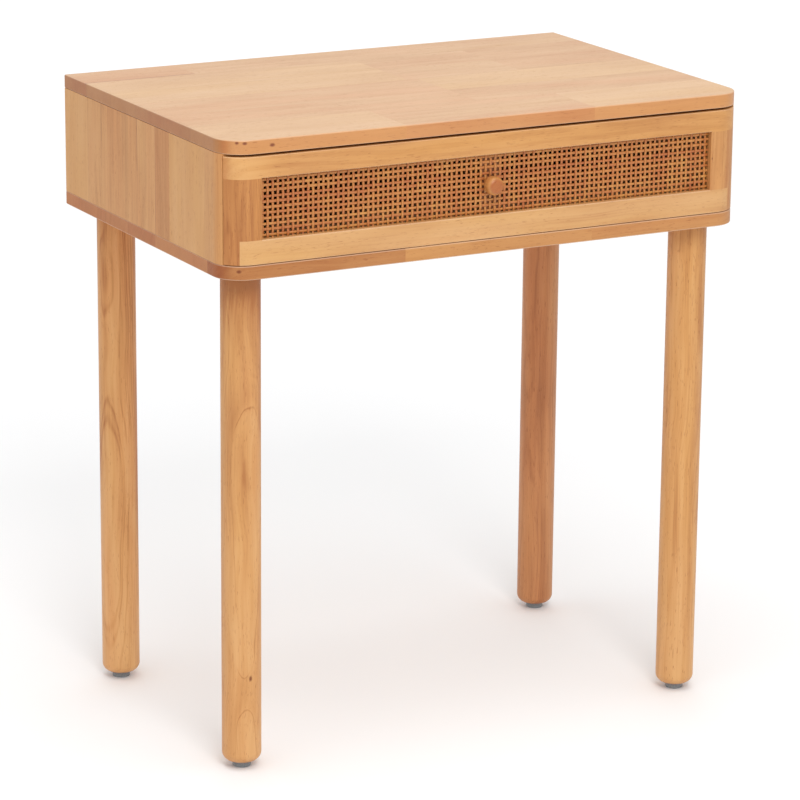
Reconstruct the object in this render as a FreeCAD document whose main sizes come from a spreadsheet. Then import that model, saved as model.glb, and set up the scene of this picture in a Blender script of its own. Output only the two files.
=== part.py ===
import FreeCAD, Part
import os

import Sketcher
from FreeCAD import Placement, Rotation, Vector

# Side table with one drawer: a shallow wooden case on four round legs.
# Millimetres. X runs along the front, Y from front to back, Z up, and the origin is on the
# floor under the middle of the table's box, which takes in the knob.

# ---------------------------------------------------------------- driving dimensions
DIMENSIONS = {
    # case
    "case_width": 500,
    "case_depth": 330,
    "case_height": 117,
    "table_height": 555,
    "panel_thick": 12,
    "side_thick": 12,
    "back_thick": 12,
    "corner_radius": 25,
    "edge_ease": 1,
    "small_ease": 0.8,
    # legs and glides
    "leg_dia": 34,
    "leg_round": 8,
    "leg_spread": 438,
    "leg_reach": 254,
    "glide_dia": 16,
    "glide_high": 5.5,
    "glide_round": 1.2,
    "nail_dia": 2.5,
    "nail_long": 18,
    "nail_head_dia": 6,
    "nail_head_high": 1.5,
    "nail_sunk": 1,
    "bolt_dia": 8,
    "bolt_in_leg": 32,
    "bolt_in_panel": 10,
    "insert_dia": 12,
    "insert_long": 10.5,
    # drawer front, a frame with a cane panel
    "front_thick": 12.5,
    "front_high": 90.5,
    "front_seam": 1,
    "gap_over_front": 2,
    "stile_wide": 33,
    "bottom_rail_high": 20.5,
    "top_rail_high": 18.5,
    "rail_lap": 19.5,
    "cane_recess": 5.5,
    "cane_thick": 1.5,
    "rebate": 5,
    "batten_wide": 17,
    "frame_dowel_dia": 5,
    "frame_dowel_long": 20,
    "top_dowel_back": 7.5,
    "bottom_dowel_back": 4.5,
    "bottom_dowel_in": 7.5,
    # knob
    "knob_reach": 6,
    "knob_dia": 16,
    "knob_neck_dia": 11,
    "knob_neck_long": 1.5,
    "knob_front_round": 4.5,
    "knob_back_round": 2,
    "knob_screw_dia": 4,
    "knob_screw_in": 8,
    "knob_screw_head_dia": 8,
    "knob_screw_head_high": 2.4,
    # drawer box
    "box_length": 280,
    "box_wall": 12,
    "box_gap": 1.5,
    "box_low": 3,
    "box_side_high": 75,
    "box_back_high": 82,
    "floor_thick": 5,
    "floor_up": 5,
    "floor_groove": 5,
    "slot_high": 12.6,
    "slot_deep": 6,
    "slot_up": 31,
    "slide_play": 0.3,
    "runner_end_play": 0.5,
    "runner_long": 290,
    "stop_from_front": 80.5,
    "stop_wide": 40,
    "stop_deep": 15,
    "stop_high": 12,
    # dowels and screws
    "dowel_dia": 6,
    "dowel_short_end": 8,
    "dowel_long_end": 20,
    "side_dowel_low": 24.5,
    "side_dowel_high": 54,
    "screw_dia": 3.5,
    "screw_head_dia": 7,
    "screw_head_high": 2.5,
    "runner_screw_long": 15,
    "stop_screw_long": 20,
    "back_screw_long": 32,
    "back_screw_low": 20,
    "back_screw_high": 60,
    "pin_dia": 2.5,
    "pin_head_dia": 5.5,
    "pin_head_high": 1.2,
    "pin_long": 14,
}

doc = FreeCAD.newDocument("side_table")
dims = doc.addObject("Spreadsheet::Sheet", "Dims")
for row, (alias, value) in enumerate(DIMENSIONS.items(), start=1):
    dims.set(f"A{row}", alias)
    dims.set(f"B{row}", str(value))
    dims.setAlias(f"B{row}", alias)
doc.recompute()

# Levels and planes that many pieces share, as expressions on the sheet.
FRONT = "(Dims.knob_reach / 2 - Dims.case_depth / 2)"
REAR = "(Dims.knob_reach / 2 + Dims.case_depth / 2)"
CASE_BOTTOM = "(Dims.table_height - Dims.case_height)"
CASE_FLOOR = f"({CASE_BOTTOM} + Dims.panel_thick)"
TOP_UNDER = "(Dims.table_height - Dims.panel_thick)"
CASE_INSIDE = f"({TOP_UNDER} - {CASE_FLOOR})"
SIDE_MID = "(Dims.case_width / 2 - Dims.side_thick / 2)"
FRONT_BACK = f"({FRONT} + Dims.front_thick)"
SIDE_START = f"({FRONT_BACK} + Dims.front_seam)"
BACK_START = f"({REAR} - Dims.back_thick)"
FRONT_TOP = f"({TOP_UNDER} - Dims.gap_over_front)"
FRONT_BOTTOM = f"({FRONT_TOP} - Dims.front_high)"
OPENING_LOW = f"({FRONT_BOTTOM} + Dims.bottom_rail_high)"
OPENING_TOP = f"({FRONT_TOP} - Dims.top_rail_high)"
OPENING_HIGH = f"({OPENING_TOP} - {OPENING_LOW})"
OPENING_WIDE = "(Dims.case_width - 2 * Dims.stile_wide)"
CANE_FACE = f"({FRONT} + Dims.cane_recess)"
CANE_BACK = f"({CANE_FACE} + Dims.cane_thick)"
BEAD_THICK = f"({FRONT_BACK} - {CANE_BACK})"
KNOB_LEVEL = f"({FRONT_BOTTOM} + Dims.front_high / 2)"
INNER_WIDE = "(Dims.case_width - 2 * Dims.side_thick)"
BOX_WIDE = f"({INNER_WIDE} - 2 * Dims.box_gap)"
BOX_SIDE_MID = f"({BOX_WIDE} / 2 - Dims.box_wall / 2)"
BOX_BOTTOM = f"({CASE_FLOOR} + Dims.box_low)"
BOX_END = f"({FRONT_BACK} + Dims.box_length)"
BOX_FLOOR_LOW = f"({BOX_BOTTOM} + Dims.floor_up)"
BOX_FLOOR_TOP = f"({BOX_FLOOR_LOW} + Dims.floor_thick)"
SLOT_LOW = f"({BOX_BOTTOM} + Dims.slot_up)"
RUNNER_THICK = "(Dims.box_gap + Dims.slot_deep - Dims.runner_end_play)"
RUNNER_HIGH = "(Dims.slot_high - 2 * Dims.slide_play)"
RUNNER_LEVEL = f"({SLOT_LOW} + Dims.slot_high / 2)"

SIDES = {"left": "-1", "right": "1"}
ENDS = {"front": "-1", "back": "1"}
ALONG_X = Vector(1, 0, 0)
ALONG_Y = Vector(0, 1, 0)
ALONG_Z = Vector(0, 0, 1)

subparts = []


# ---------------------------------------------------------------- helpers
def put(piece, x, y, z):
    """Bind a piece's position to three expressions."""
    for axis, value in zip("xyz", (x, y, z)):
        piece.setExpression(f"Placement.Base.{axis}", value)
    return piece


def finished(piece, label):
    """Name a finished sub-part and list it for writing."""
    piece.Label = label
    subparts.append(piece)
    return piece


def block(name, x_mid, y_low, z_low, length, width, height):
    """A box, given by its middle in X and its low corner in Y and Z."""
    piece = doc.addObject("Part::Box", name)
    piece.setExpression("Length", length)
    piece.setExpression("Width", width)
    piece.setExpression("Height", height)
    return put(piece, f"{x_mid} - ({length}) / 2", y_low, z_low)


def rod(name, direction, x, y, z, diameter, length):
    """A round bar that starts at a point and runs along a direction."""
    piece = doc.addObject("Part::Cylinder", name)
    piece.Placement = Placement(Vector(), Rotation(ALONG_Z, direction))
    piece.setExpression("Radius", f"({diameter}) / 2")
    piece.setExpression("Height", length)
    return put(piece, x, y, z)


def cone(name, direction, x, y, z, near_dia, far_dia, length):
    """A cone that starts at a point with one diameter and ends with another."""
    piece = doc.addObject("Part::Cone", name)
    piece.Placement = Placement(Vector(), Rotation(ALONG_Z, direction))
    piece.setExpression("Radius1", f"({near_dia}) / 2")
    piece.setExpression("Radius2", f"({far_dia}) / 2")
    piece.setExpression("Height", length)
    return put(piece, x, y, z)


def fuse(name, first, second):
    """One solid from two that touch."""
    piece = doc.addObject("Part::Fuse", name)
    piece.Base = first
    piece.Tool = second
    return piece


def group(name, pieces):
    """Several separate solids that share one node."""
    piece = doc.addObject("Part::Compound", name)
    piece.Links = pieces
    return piece


def cut(name, base, tools):
    """A piece less the pockets, grooves and fasteners in it."""
    piece = doc.addObject("Part::Cut", name)
    piece.Base = base
    piece.Tool = tools[0] if len(tools) == 1 else group(f"{name}_tools", tools)
    return piece


def trim(name, base):
    """The part of a piece that lies inside the case's rounded outline."""
    piece = doc.addObject("Part::Common", name)
    piece.Base = base
    piece.Tool = outline
    return piece


def eased(name, base, wanted):
    """Slightly round the edges of a piece that a test picks out."""
    doc.recompute()
    radius = read("Dims.small_ease")
    piece = doc.addObject("Part::Fillet", name)
    piece.Base = base
    edges = enumerate(base.Shape.Edges, start=1)
    piece.Edges = [(number, radius, radius) for number, edge in edges if wanted(edge)]
    return piece


def countersunk(name, direction, x, y, z, length):
    """A countersunk wood screw; the point given is the middle of its head's flat face."""
    head = cone(f"{name}_head", direction, x, y, z,
                "Dims.screw_head_dia", "Dims.screw_dia", "Dims.screw_head_high")
    shank = rod(f"{name}_shank", direction, x, y, z, "Dims.screw_dia", length)
    return fuse(name, head, shank)


def new_body(name):
    """A PartDesign body."""
    return doc.addObject("PartDesign::Body", name)


def origin_plane(body, role):
    """One of a body's own origin planes."""
    return next(f for f in body.Origin.OriginFeatures if f.Role == role)


def outline_sketch(body, name, role, corners):
    """A closed sketch of straight lines; each corner is a pair of expressions."""
    sketch = body.newObject("Sketcher::SketchObject", name)
    sketch.AttachmentSupport = (origin_plane(body, role), [""])
    sketch.MapMode = "FlatFace"
    spots = [Vector(read(u), read(v), 0) for u, v in corners]
    for start, end in zip(spots, spots[1:] + spots[:1]):
        sketch.addGeometry(Part.LineSegment(start, end), False)
    for index, (u, v) in enumerate(corners):
        before = (index - 1) % len(corners)
        sketch.addConstraint(Sketcher.Constraint("Coincident", before, 2, index, 1))
        pin_coordinate(sketch, index, "DistanceX", u, -2)
        pin_coordinate(sketch, index, "DistanceY", v, -1)
    return sketch


def pin_coordinate(sketch, index, kind, expression, axis):
    """Hold one coordinate of a line's first point: on an axis, or at an expression."""
    if expression == "0":
        sketch.addConstraint(Sketcher.Constraint("PointOnObject", index, 1, axis))
        return
    value = read(expression)
    number = sketch.addConstraint(Sketcher.Constraint(kind, index, 1, value))
    sketch.setExpression(f"Constraints[{number}]", expression)


def read(expression):
    """The present value of an expression on the sheet."""
    return float(dims.evalExpression(expression))


def pad(body, name, sketch, length):
    """Raise a sketch to a solid."""
    feature = body.newObject("PartDesign::Pad", name)
    feature.Profile = sketch
    feature.setExpression("Length", length)
    doc.recompute()
    return feature


def round_edges(body, name, base, wanted, radius):
    """Fillet the edges of a feature that a test picks out."""
    edges = [f"Edge{n}" for n, edge in enumerate(base.Shape.Edges, start=1) if wanted(edge)]
    feature = body.newObject("PartDesign::Fillet", name)
    feature.Base = (base, edges)
    feature.setExpression("Radius", radius)
    doc.recompute()
    return feature


def is_upright(edge):
    """True for a straight edge along Z."""
    box = edge.BoundBox
    return box.ZLength > 1 and box.XLength < 0.01 and box.YLength < 0.01


def at_height(level):
    """A test for edges that lie flat at one height."""
    def test(edge):
        box = edge.BoundBox
        return abs(box.ZMin - level) < 0.01 and abs(box.ZMax - level) < 0.01
    return test


# ---------------------------------------------------------------- the case's outline
def rounded_board(name, thick, eased):
    """A board as wide and deep as the case, with its two front corners rounded in plan."""
    body = new_body(name)
    corners = [("0", "0"), ("Dims.case_width", "0"),
               ("Dims.case_width", "Dims.case_depth"), ("0", "Dims.case_depth")]
    sketch = outline_sketch(body, f"{name}_sketch", "XY_Plane", corners)
    board = pad(body, f"{name}_pad", sketch, thick)

    def front_corner(edge):
        return is_upright(edge) and edge.BoundBox.YMax < 0.01

    board = round_edges(body, f"{name}_corners", board, front_corner, "Dims.corner_radius")
    if eased:
        rims = (at_height(0), at_height(read(thick)))
        board = round_edges(body, f"{name}_ease", board,
                            lambda edge: rims[0](edge) or rims[1](edge), "Dims.edge_ease")
    return body


outline = rounded_board("outline", "Dims.case_height", eased=False)
put(outline, "-Dims.case_width / 2", FRONT, CASE_BOTTOM)


# ---------------------------------------------------------------- fasteners of the case
def make_case_dowels():
    """Dowels that join the top and bottom panels to the two sides, three at each joint."""
    dowels = []
    for side, sign in SIDES.items():
        x = f"{sign} * {SIDE_MID}"
        for place, share in enumerate(("0.1", "0.5", "0.85")):
            y = f"{SIDE_START} + {share} * ({REAR} - {SIDE_START})"
            length = "Dims.dowel_short_end + Dims.dowel_long_end"
            dowels.append(rod(f"{side}_top_dowel_{place}", ALONG_Z, x, y,
                              f"{TOP_UNDER} - Dims.dowel_long_end", "Dims.dowel_dia", length))
            dowels.append(rod(f"{side}_bottom_dowel_{place}", ALONG_Z, x, y,
                              f"{CASE_FLOOR} - Dims.dowel_short_end", "Dims.dowel_dia", length))
    return finished(group("case_dowels_group", dowels), "case_dowels")


def make_back_dowels():
    """Dowels that join the back panel's ends to the sides, two at each end."""
    dowels = []
    for side, sign in SIDES.items():
        start = f"{INNER_WIDE} / 2 + Dims.dowel_short_end"
        heading = Vector(-float(sign), 0, 0)
        for place, share in enumerate(("0.25", "0.75")):
            dowels.append(rod(f"{side}_back_dowel_{place}", heading, f"{sign} * ({start})",
                              f"{BACK_START} + Dims.back_thick / 2",
                              f"{CASE_FLOOR} + {share} * {CASE_INSIDE}",
                              "Dims.dowel_dia", "Dims.dowel_short_end + Dims.dowel_long_end"))
    return finished(group("back_dowels_group", dowels), "back_panel_dowels")


def make_runner_screws():
    """Countersunk screws through the runners into the sides, three a runner."""
    screws = []
    for side, sign in SIDES.items():
        heading = Vector(float(sign), 0, 0)
        for place, share in enumerate(("0.08", "0.5", "0.92")):
            screws.append(countersunk(
                f"{side}_runner_screw_{place}", heading,
                f"{sign} * ({INNER_WIDE} / 2 - {RUNNER_THICK})",
                f"{SIDE_START} + {share} * Dims.runner_long", RUNNER_LEVEL,
                "Dims.runner_screw_long"))
    return finished(group("runner_screws_group", screws), "runner_screws")


def make_stop_screws():
    """Two screws that hold the drawer stop under the top panel."""
    screws = []
    for side, sign in SIDES.items():
        screws.append(countersunk(
            f"{side}_stop_screw", ALONG_Z, f"{sign} * Dims.stop_wide / 4",
            f"{FRONT} + Dims.stop_from_front - Dims.stop_deep / 2",
            f"{TOP_UNDER} - Dims.stop_high", "Dims.stop_screw_long"))
    return finished(group("stop_screws_group", screws), "drawer_stop_screws")


case_dowels = make_case_dowels()
back_dowels = make_back_dowels()
runner_screws = make_runner_screws()
stop_screws = make_stop_screws()


# ---------------------------------------------------------------- legs and what holds them
def leg_spot(side, end):
    """Where a leg's axis stands, as two expressions."""
    x = f"{SIDES[side]} * Dims.leg_spread / 2"
    y = f"Dims.knob_reach / 2 + {ENDS[end]} * Dims.leg_reach / 2"
    return x, y


LEG_NAMES = [(end, side) for end in ENDS for side in SIDES]


def make_leg_bolts():
    """Hanger bolts, half in the leg and half in the bottom panel's insert."""
    bolts = []
    for end, side in LEG_NAMES:
        x, y = leg_spot(side, end)
        bolts.append(rod(f"{end}_{side}_bolt", ALONG_Z, x, y,
                         f"{CASE_BOTTOM} - Dims.bolt_in_leg", "Dims.bolt_dia",
                         "Dims.bolt_in_leg + Dims.bolt_in_panel"))
    return finished(group("bolts_group", bolts), "hanger_bolts")


def make_inserts():
    """Threaded inserts in the bottom panel, one over each leg."""
    inserts = []
    for end, side in LEG_NAMES:
        x, y = leg_spot(side, end)
        sleeve = rod(f"{end}_{side}_sleeve", ALONG_Z, x, y, CASE_BOTTOM,
                     "Dims.insert_dia", "Dims.insert_long")
        bore = rod(f"{end}_{side}_sleeve_bore", ALONG_Z, x, y, CASE_BOTTOM,
                   "Dims.bolt_dia", "Dims.insert_long")
        inserts.append(cut(f"{end}_{side}_insert", sleeve, [bore]))
    return finished(group("inserts_group", inserts), "leg_inserts")


def make_nails():
    """Glide nails, with flat heads sunk in the glides."""
    nails = []
    for end, side in LEG_NAMES:
        x, y = leg_spot(side, end)
        head = cone(f"{end}_{side}_nail_head", ALONG_Z, x, y, "Dims.nail_sunk",
                    "Dims.nail_head_dia", "Dims.nail_dia", "Dims.nail_head_high")
        shank = rod(f"{end}_{side}_nail_shank", ALONG_Z, x, y, "Dims.nail_sunk",
                    "Dims.nail_dia", "Dims.nail_long")
        nails.append(fuse(f"{end}_{side}_nail", head, shank))
    return finished(group("nails_group", nails), "glide_nails")


def turned(name, diameter, length, rim_round):
    """A round bar on its own axis from Z = 0, with a rounded lower rim."""
    body = new_body(name)
    sketch = body.newObject("Sketcher::SketchObject", f"{name}_sketch")
    sketch.AttachmentSupport = (origin_plane(body, "XY_Plane"), [""])
    sketch.MapMode = "FlatFace"
    sketch.addGeometry(Part.Circle(Vector(), ALONG_Z, read(diameter) / 2), False)
    sketch.addConstraint(Sketcher.Constraint("Coincident", 0, 3, -1, 1))
    size = sketch.addConstraint(Sketcher.Constraint("Radius", 0, read(diameter) / 2))
    sketch.setExpression(f"Constraints[{size}]", f"{diameter} / 2")
    bar = pad(body, f"{name}_pad", sketch, length)
    round_edges(body, f"{name}_round", bar, at_height(0), rim_round)
    return body


bolts = make_leg_bolts()
inserts = make_inserts()
nails = make_nails()

for end, side in LEG_NAMES:
    x, y = leg_spot(side, end)
    leg_bar = turned(f"{end}_{side}_leg_bar", "Dims.leg_dia",
                     f"{CASE_BOTTOM} - Dims.glide_high", "Dims.leg_round")
    put(leg_bar, x, y, "Dims.glide_high")
    finished(cut(f"{end}_{side}_leg_cut", leg_bar, [bolts, nails]), f"{end}_{side}_leg")
    glide_disc = turned(f"{end}_{side}_glide_disc", "Dims.glide_dia", "Dims.glide_high",
                        "Dims.glide_round")
    put(glide_disc, x, y, "0")
    nail_hole = rod(f"{end}_{side}_nail_hole", ALONG_Z, x, y, "0",
                    "Dims.nail_head_dia", "Dims.nail_sunk")
    finished(cut(f"{end}_{side}_glide_cut", glide_disc, [nails, nail_hole]),
             f"{end}_{side}_glide")


# ---------------------------------------------------------------- panels of the case
def is_side_front_edge(edge):
    """True for the outer upright edge of a side panel that faces the drawer's front."""
    box = edge.BoundBox
    outside = max(abs(box.XMin), abs(box.XMax)) > read(INNER_WIDE) / 2 + 1
    return is_upright(edge) and outside and box.YMax < read(SIDE_START) + 0.1


def make_panels():
    """Top, bottom, two sides and back, drilled for their dowels and screws."""
    top = put(rounded_board("top_board", "Dims.panel_thick", eased=True),
              "-Dims.case_width / 2", FRONT, TOP_UNDER)
    finished(cut("top_cut", top, [case_dowels, stop_screws]), "top_panel")
    bottom = put(rounded_board("bottom_board", "Dims.panel_thick", eased=True),
                 "-Dims.case_width / 2", FRONT, CASE_BOTTOM)
    finished(cut("bottom_cut", bottom, [case_dowels, bolts, inserts]), "bottom_panel")
    for side, sign in SIDES.items():
        board = block(f"{side}_side_board", f"{sign} * {SIDE_MID}", SIDE_START, CASE_FLOOR,
                      "Dims.side_thick", f"{REAR} - {SIDE_START}", CASE_INSIDE)
        shaped = eased(f"{side}_side_ease", trim(f"{side}_side_trim", board), is_side_front_edge)
        finished(cut(f"{side}_side_cut", shaped, [case_dowels, back_dowels, runner_screws]),
                 f"{side}_side_panel")
    back = block("back_board", "0", BACK_START, CASE_FLOOR,
                 INNER_WIDE, "Dims.back_thick", CASE_INSIDE)
    finished(cut("back_cut", back, [back_dowels]), "back_panel")


def make_slide_parts():
    """The two wooden runners and the stop block that limits the drawer's travel."""
    for side, sign in SIDES.items():
        strip = block(f"{side}_runner_strip",
                      f"{sign} * ({INNER_WIDE} / 2 - {RUNNER_THICK} / 2)", SIDE_START,
                      f"{SLOT_LOW} + Dims.slide_play",
                      RUNNER_THICK, "Dims.runner_long", RUNNER_HIGH)
        finished(cut(f"{side}_runner_cut", strip, [runner_screws]), f"{side}_runner")
    stop = block("stop_block", "0", f"{FRONT} + Dims.stop_from_front - Dims.stop_deep",
                 f"{TOP_UNDER} - Dims.stop_high",
                 "Dims.stop_wide", "Dims.stop_deep", "Dims.stop_high")
    finished(cut("stop_cut", stop, [stop_screws]), "drawer_stop")


make_panels()
make_slide_parts()


# ---------------------------------------------------------------- fasteners of the drawer
def make_frame_dowels():
    """Upright dowels between the rails and the stiles, one at each corner of the frame."""
    dowels = []
    for side, sign in SIDES.items():
        edge = f"{OPENING_WIDE} / 2"
        dowels.append(rod(f"{side}_top_frame_dowel", ALONG_Z,
                          f"{sign} * ({edge} + Dims.stile_wide / 2)",
                          f"{FRONT} + Dims.top_dowel_back",
                          f"{OPENING_TOP} - Dims.frame_dowel_long / 2",
                          "Dims.frame_dowel_dia", "Dims.frame_dowel_long"))
        dowels.append(rod(f"{side}_bottom_frame_dowel", ALONG_Z,
                          f"{sign} * ({edge} + Dims.bottom_dowel_in)",
                          f"{FRONT} + Dims.bottom_dowel_back",
                          f"{OPENING_LOW} - Dims.frame_dowel_long / 2",
                          "Dims.frame_dowel_dia", "Dims.frame_dowel_long"))
    return finished(group("frame_dowels_group", dowels), "front_frame_dowels")


def make_side_dowels():
    """Dowels from the drawer's sides into the stiles, two a side."""
    dowels = []
    for side, sign in SIDES.items():
        for level in ("low", "high"):
            dowels.append(rod(f"{side}_{level}_box_dowel", ALONG_Y, f"{sign} * {BOX_SIDE_MID}",
                              f"{FRONT_BACK} - Dims.dowel_short_end",
                              f"{BOX_BOTTOM} + Dims.side_dowel_{level}",
                              "Dims.dowel_dia", "Dims.dowel_short_end + Dims.dowel_long_end"))
    return finished(group("side_dowels_group", dowels), "drawer_side_dowels")


def make_box_back_screws():
    """Countersunk screws through the drawer's sides into its back, two a side."""
    screws = []
    for side, sign in SIDES.items():
        heading = Vector(-float(sign), 0, 0)
        for level in ("low", "high"):
            screws.append(countersunk(f"{side}_{level}_box_screw", heading,
                                      f"{sign} * {BOX_WIDE} / 2",
                                      f"{BOX_END} - Dims.box_wall / 2",
                                      f"{BOX_BOTTOM} + Dims.back_screw_{level}",
                                      "Dims.back_screw_long"))
    return finished(group("box_screws_group", screws), "drawer_back_screws")


def make_floor_pins():
    """Short round-head screws that hold the drawer's bottom up to its back."""
    pins = []
    for place, share in enumerate(("-0.35", "0", "0.35")):
        x = f"{share} * {BOX_WIDE}"
        y = f"{BOX_END} - Dims.box_wall / 2"
        head = rod(f"floor_pin_head_{place}", ALONG_Z, x, y,
                   f"{BOX_FLOOR_LOW} - Dims.pin_head_high", "Dims.pin_head_dia",
                   "Dims.pin_head_high")
        shank = rod(f"floor_pin_shank_{place}", ALONG_Z, x, y,
                    f"{BOX_FLOOR_LOW} - Dims.pin_head_high", "Dims.pin_dia", "Dims.pin_long")
        pins.append(fuse(f"floor_pin_{place}", head, shank))
    return finished(group("floor_pins_group", pins), "drawer_bottom_screws")


def make_knob_screw():
    """The machine screw that comes through the batten and the cane into the knob."""
    y = f"{FRONT_BACK} + Dims.knob_screw_head_high"
    reach = f"({FRONT_BACK} - {CANE_FACE} + Dims.knob_screw_head_high + Dims.knob_screw_in)"
    heading = Vector(0, -1, 0)
    head = rod("knob_screw_head", heading, "0", y, KNOB_LEVEL,
               "Dims.knob_screw_head_dia", "Dims.knob_screw_head_high")
    shank = rod("knob_screw_shank", heading, "0", y, KNOB_LEVEL, "Dims.knob_screw_dia", reach)
    return finished(fuse("knob_screw_fuse", head, shank), "knob_screw")


frame_dowels = make_frame_dowels()
side_dowels = make_side_dowels()
box_screws = make_box_back_screws()
floor_pins = make_floor_pins()
knob_screw = make_knob_screw()

# ---------------------------------------------------------------- drawer front
rebate_space = block("rebate_space", "0", CANE_FACE, f"{OPENING_LOW} - Dims.rebate",
                     f"{OPENING_WIDE} + 2 * Dims.rebate", "Dims.front_thick",
                     f"{OPENING_HIGH} + 2 * Dims.rebate")
floor_space = block("floor_space", "0", f"{FRONT_BACK} - Dims.floor_groove", BOX_FLOOR_LOW,
                    f"{BOX_WIDE} - 2 * Dims.box_wall + 2 * Dims.floor_groove",
                    "Dims.box_length + Dims.floor_groove", "Dims.floor_thick")


def make_opening_bevel():
    """The eased edge round the opening, as a shallow wedge that is cut from the frame."""
    wedge = doc.addObject("Part::Wedge", "opening_bevel")
    sizes = {"Xmin": "0", "Xmax": f"{OPENING_WIDE} + 2 * Dims.small_ease",
             "X2min": "Dims.small_ease", "X2max": f"{OPENING_WIDE} + Dims.small_ease",
             "Zmin": "0", "Zmax": f"{OPENING_HIGH} + 2 * Dims.small_ease",
             "Z2min": "Dims.small_ease", "Z2max": f"{OPENING_HIGH} + Dims.small_ease",
             "Ymin": "0", "Ymax": "Dims.small_ease"}
    for side, value in sizes.items():
        wedge.setExpression(side, value)
    return put(wedge, f"-{OPENING_WIDE} / 2 - Dims.small_ease", FRONT,
               f"{OPENING_LOW} - Dims.small_ease")


opening_bevel = make_opening_bevel()


def front_rim(level):
    """A test for the long edges of the drawer front's face at one height."""
    at_level = at_height(read(level))
    back = read(FRONT_BACK)

    def test(edge):
        box = edge.BoundBox
        return at_level(edge) and box.XLength > 1 and box.YMin < back - 1
    return test


def make_front_frame():
    """Two rails and two stiles: the top rail lies over the stiles, and each stile is
    notched over an end of the bottom rail."""
    short_rail = f"({OPENING_WIDE} + 2 * Dims.rail_lap)"
    top = block("top_rail_bar", "0", FRONT, OPENING_TOP,
                "Dims.case_width", "Dims.front_thick", "Dims.top_rail_high")
    top = eased("top_rail_ease", trim("top_rail_trim", top), front_rim(FRONT_TOP))
    finished(cut("top_rail_cut", top, [rebate_space, opening_bevel, frame_dowels]),
             "front_top_rail")
    bottom = block("bottom_rail_bar", "0", FRONT, FRONT_BOTTOM,
                   short_rail, "Dims.front_thick", "Dims.bottom_rail_high")
    bottom = eased("bottom_rail_ease", trim("bottom_rail_trim", bottom), front_rim(FRONT_BOTTOM))
    finished(cut("bottom_rail_cut", bottom,
                 [rebate_space, opening_bevel, floor_space, frame_dowels]), "front_bottom_rail")
    notch = block("stile_notch", "0", FRONT, FRONT_BOTTOM,
                  short_rail, "Dims.front_thick", "Dims.bottom_rail_high")
    for side, sign in SIDES.items():
        bar = block(f"{side}_stile_bar",
                    f"{sign} * (Dims.case_width / 2 - Dims.stile_wide / 2)", FRONT, FRONT_BOTTOM,
                    "Dims.stile_wide", "Dims.front_thick",
                    f"{OPENING_TOP} - {FRONT_BOTTOM}")
        bar = cut(f"{side}_stile_notched", trim(f"{side}_stile_trim", bar), [notch])
        bar = eased(f"{side}_stile_ease", bar, front_rim(FRONT_BOTTOM))
        finished(cut(f"{side}_stile_cut", bar,
                     [rebate_space, opening_bevel, frame_dowels, side_dowels]),
                 f"front_{side}_stile")


def make_cane_and_beads():
    """The cane panel, the beads that hold it in its rebate, and the batten behind it."""
    rebate_low = f"({OPENING_LOW} - Dims.rebate)"
    rebate_wide = f"({OPENING_WIDE} + 2 * Dims.rebate)"
    rebate_high = f"({OPENING_HIGH} + 2 * Dims.rebate)"
    cane = block("cane_plate", "0", CANE_FACE, rebate_low,
                 rebate_wide, "Dims.cane_thick", rebate_high)
    finished(cut("cane_cut", cane, [knob_screw]), "cane_panel")
    batten = block("batten_bar", "0", CANE_BACK, rebate_low,
                   "Dims.batten_wide", BEAD_THICK, rebate_high)
    finished(cut("batten_cut", batten, [knob_screw]), "knob_batten")
    for side, sign in SIDES.items():
        finished(block(f"{side}_bead_bar", f"{sign} * ({rebate_wide} / 2 - Dims.rebate / 2)",
                       CANE_BACK, OPENING_LOW, "Dims.rebate", BEAD_THICK, OPENING_HIGH),
                 f"{side}_cane_bead")
        length = f"(({rebate_wide} - Dims.batten_wide) / 2)"
        x_mid = f"{sign} * (Dims.batten_wide / 2 + {length} / 2)"
        levels = {"top": OPENING_TOP, "bottom": rebate_low}
        for level, z_low in levels.items():
            finished(block(f"{level}_{side}_bead_bar", x_mid, CANE_BACK, z_low,
                           length, BEAD_THICK, "Dims.rebate"),
                     f"{level}_{side}_cane_bead")


def make_knob():
    """A small turned knob: a short neck and a round head, with its axis along Y."""
    body = new_body("knob_body")
    total = "(Dims.cane_recess + Dims.knob_reach)"
    corners = [("0", "0"), ("Dims.knob_neck_dia / 2", "0"),
               ("Dims.knob_neck_dia / 2", "Dims.knob_neck_long"),
               ("Dims.knob_dia / 2", "Dims.knob_neck_long"),
               ("Dims.knob_dia / 2", total), ("0", total)]
    sketch = outline_sketch(body, "knob_sketch", "XZ_Plane", corners)
    turning = body.newObject("PartDesign::Revolution", "knob_turning")
    turning.Profile = sketch
    turning.ReferenceAxis = (sketch, ["V_Axis"])
    turning.Angle = 360
    doc.recompute()
    head = round_edges(body, "knob_front_round", turning, at_height(read(total)),
                       "Dims.knob_front_round")
    neck = read("Dims.knob_neck_long")
    wide = read("Dims.knob_dia")

    def back_rim(edge):
        return at_height(neck)(edge) and edge.BoundBox.XLength > wide - 0.1

    round_edges(body, "knob_back_round", head, back_rim, "Dims.knob_back_round")
    body.Placement = Placement(Vector(), Rotation(ALONG_Z, Vector(0, -1, 0)))
    put(body, "0", CANE_FACE, KNOB_LEVEL)
    finished(cut("knob_cut", body, [knob_screw]), "knob")


make_front_frame()
make_cane_and_beads()
make_knob()


# ---------------------------------------------------------------- drawer box
def is_long_top_edge(level):
    """A test for a board's long edges at its top."""
    at_level = at_height(read(level))

    def test(edge):
        return at_level(edge) and edge.Length > read("Dims.box_wall") + 1
    return test


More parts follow.
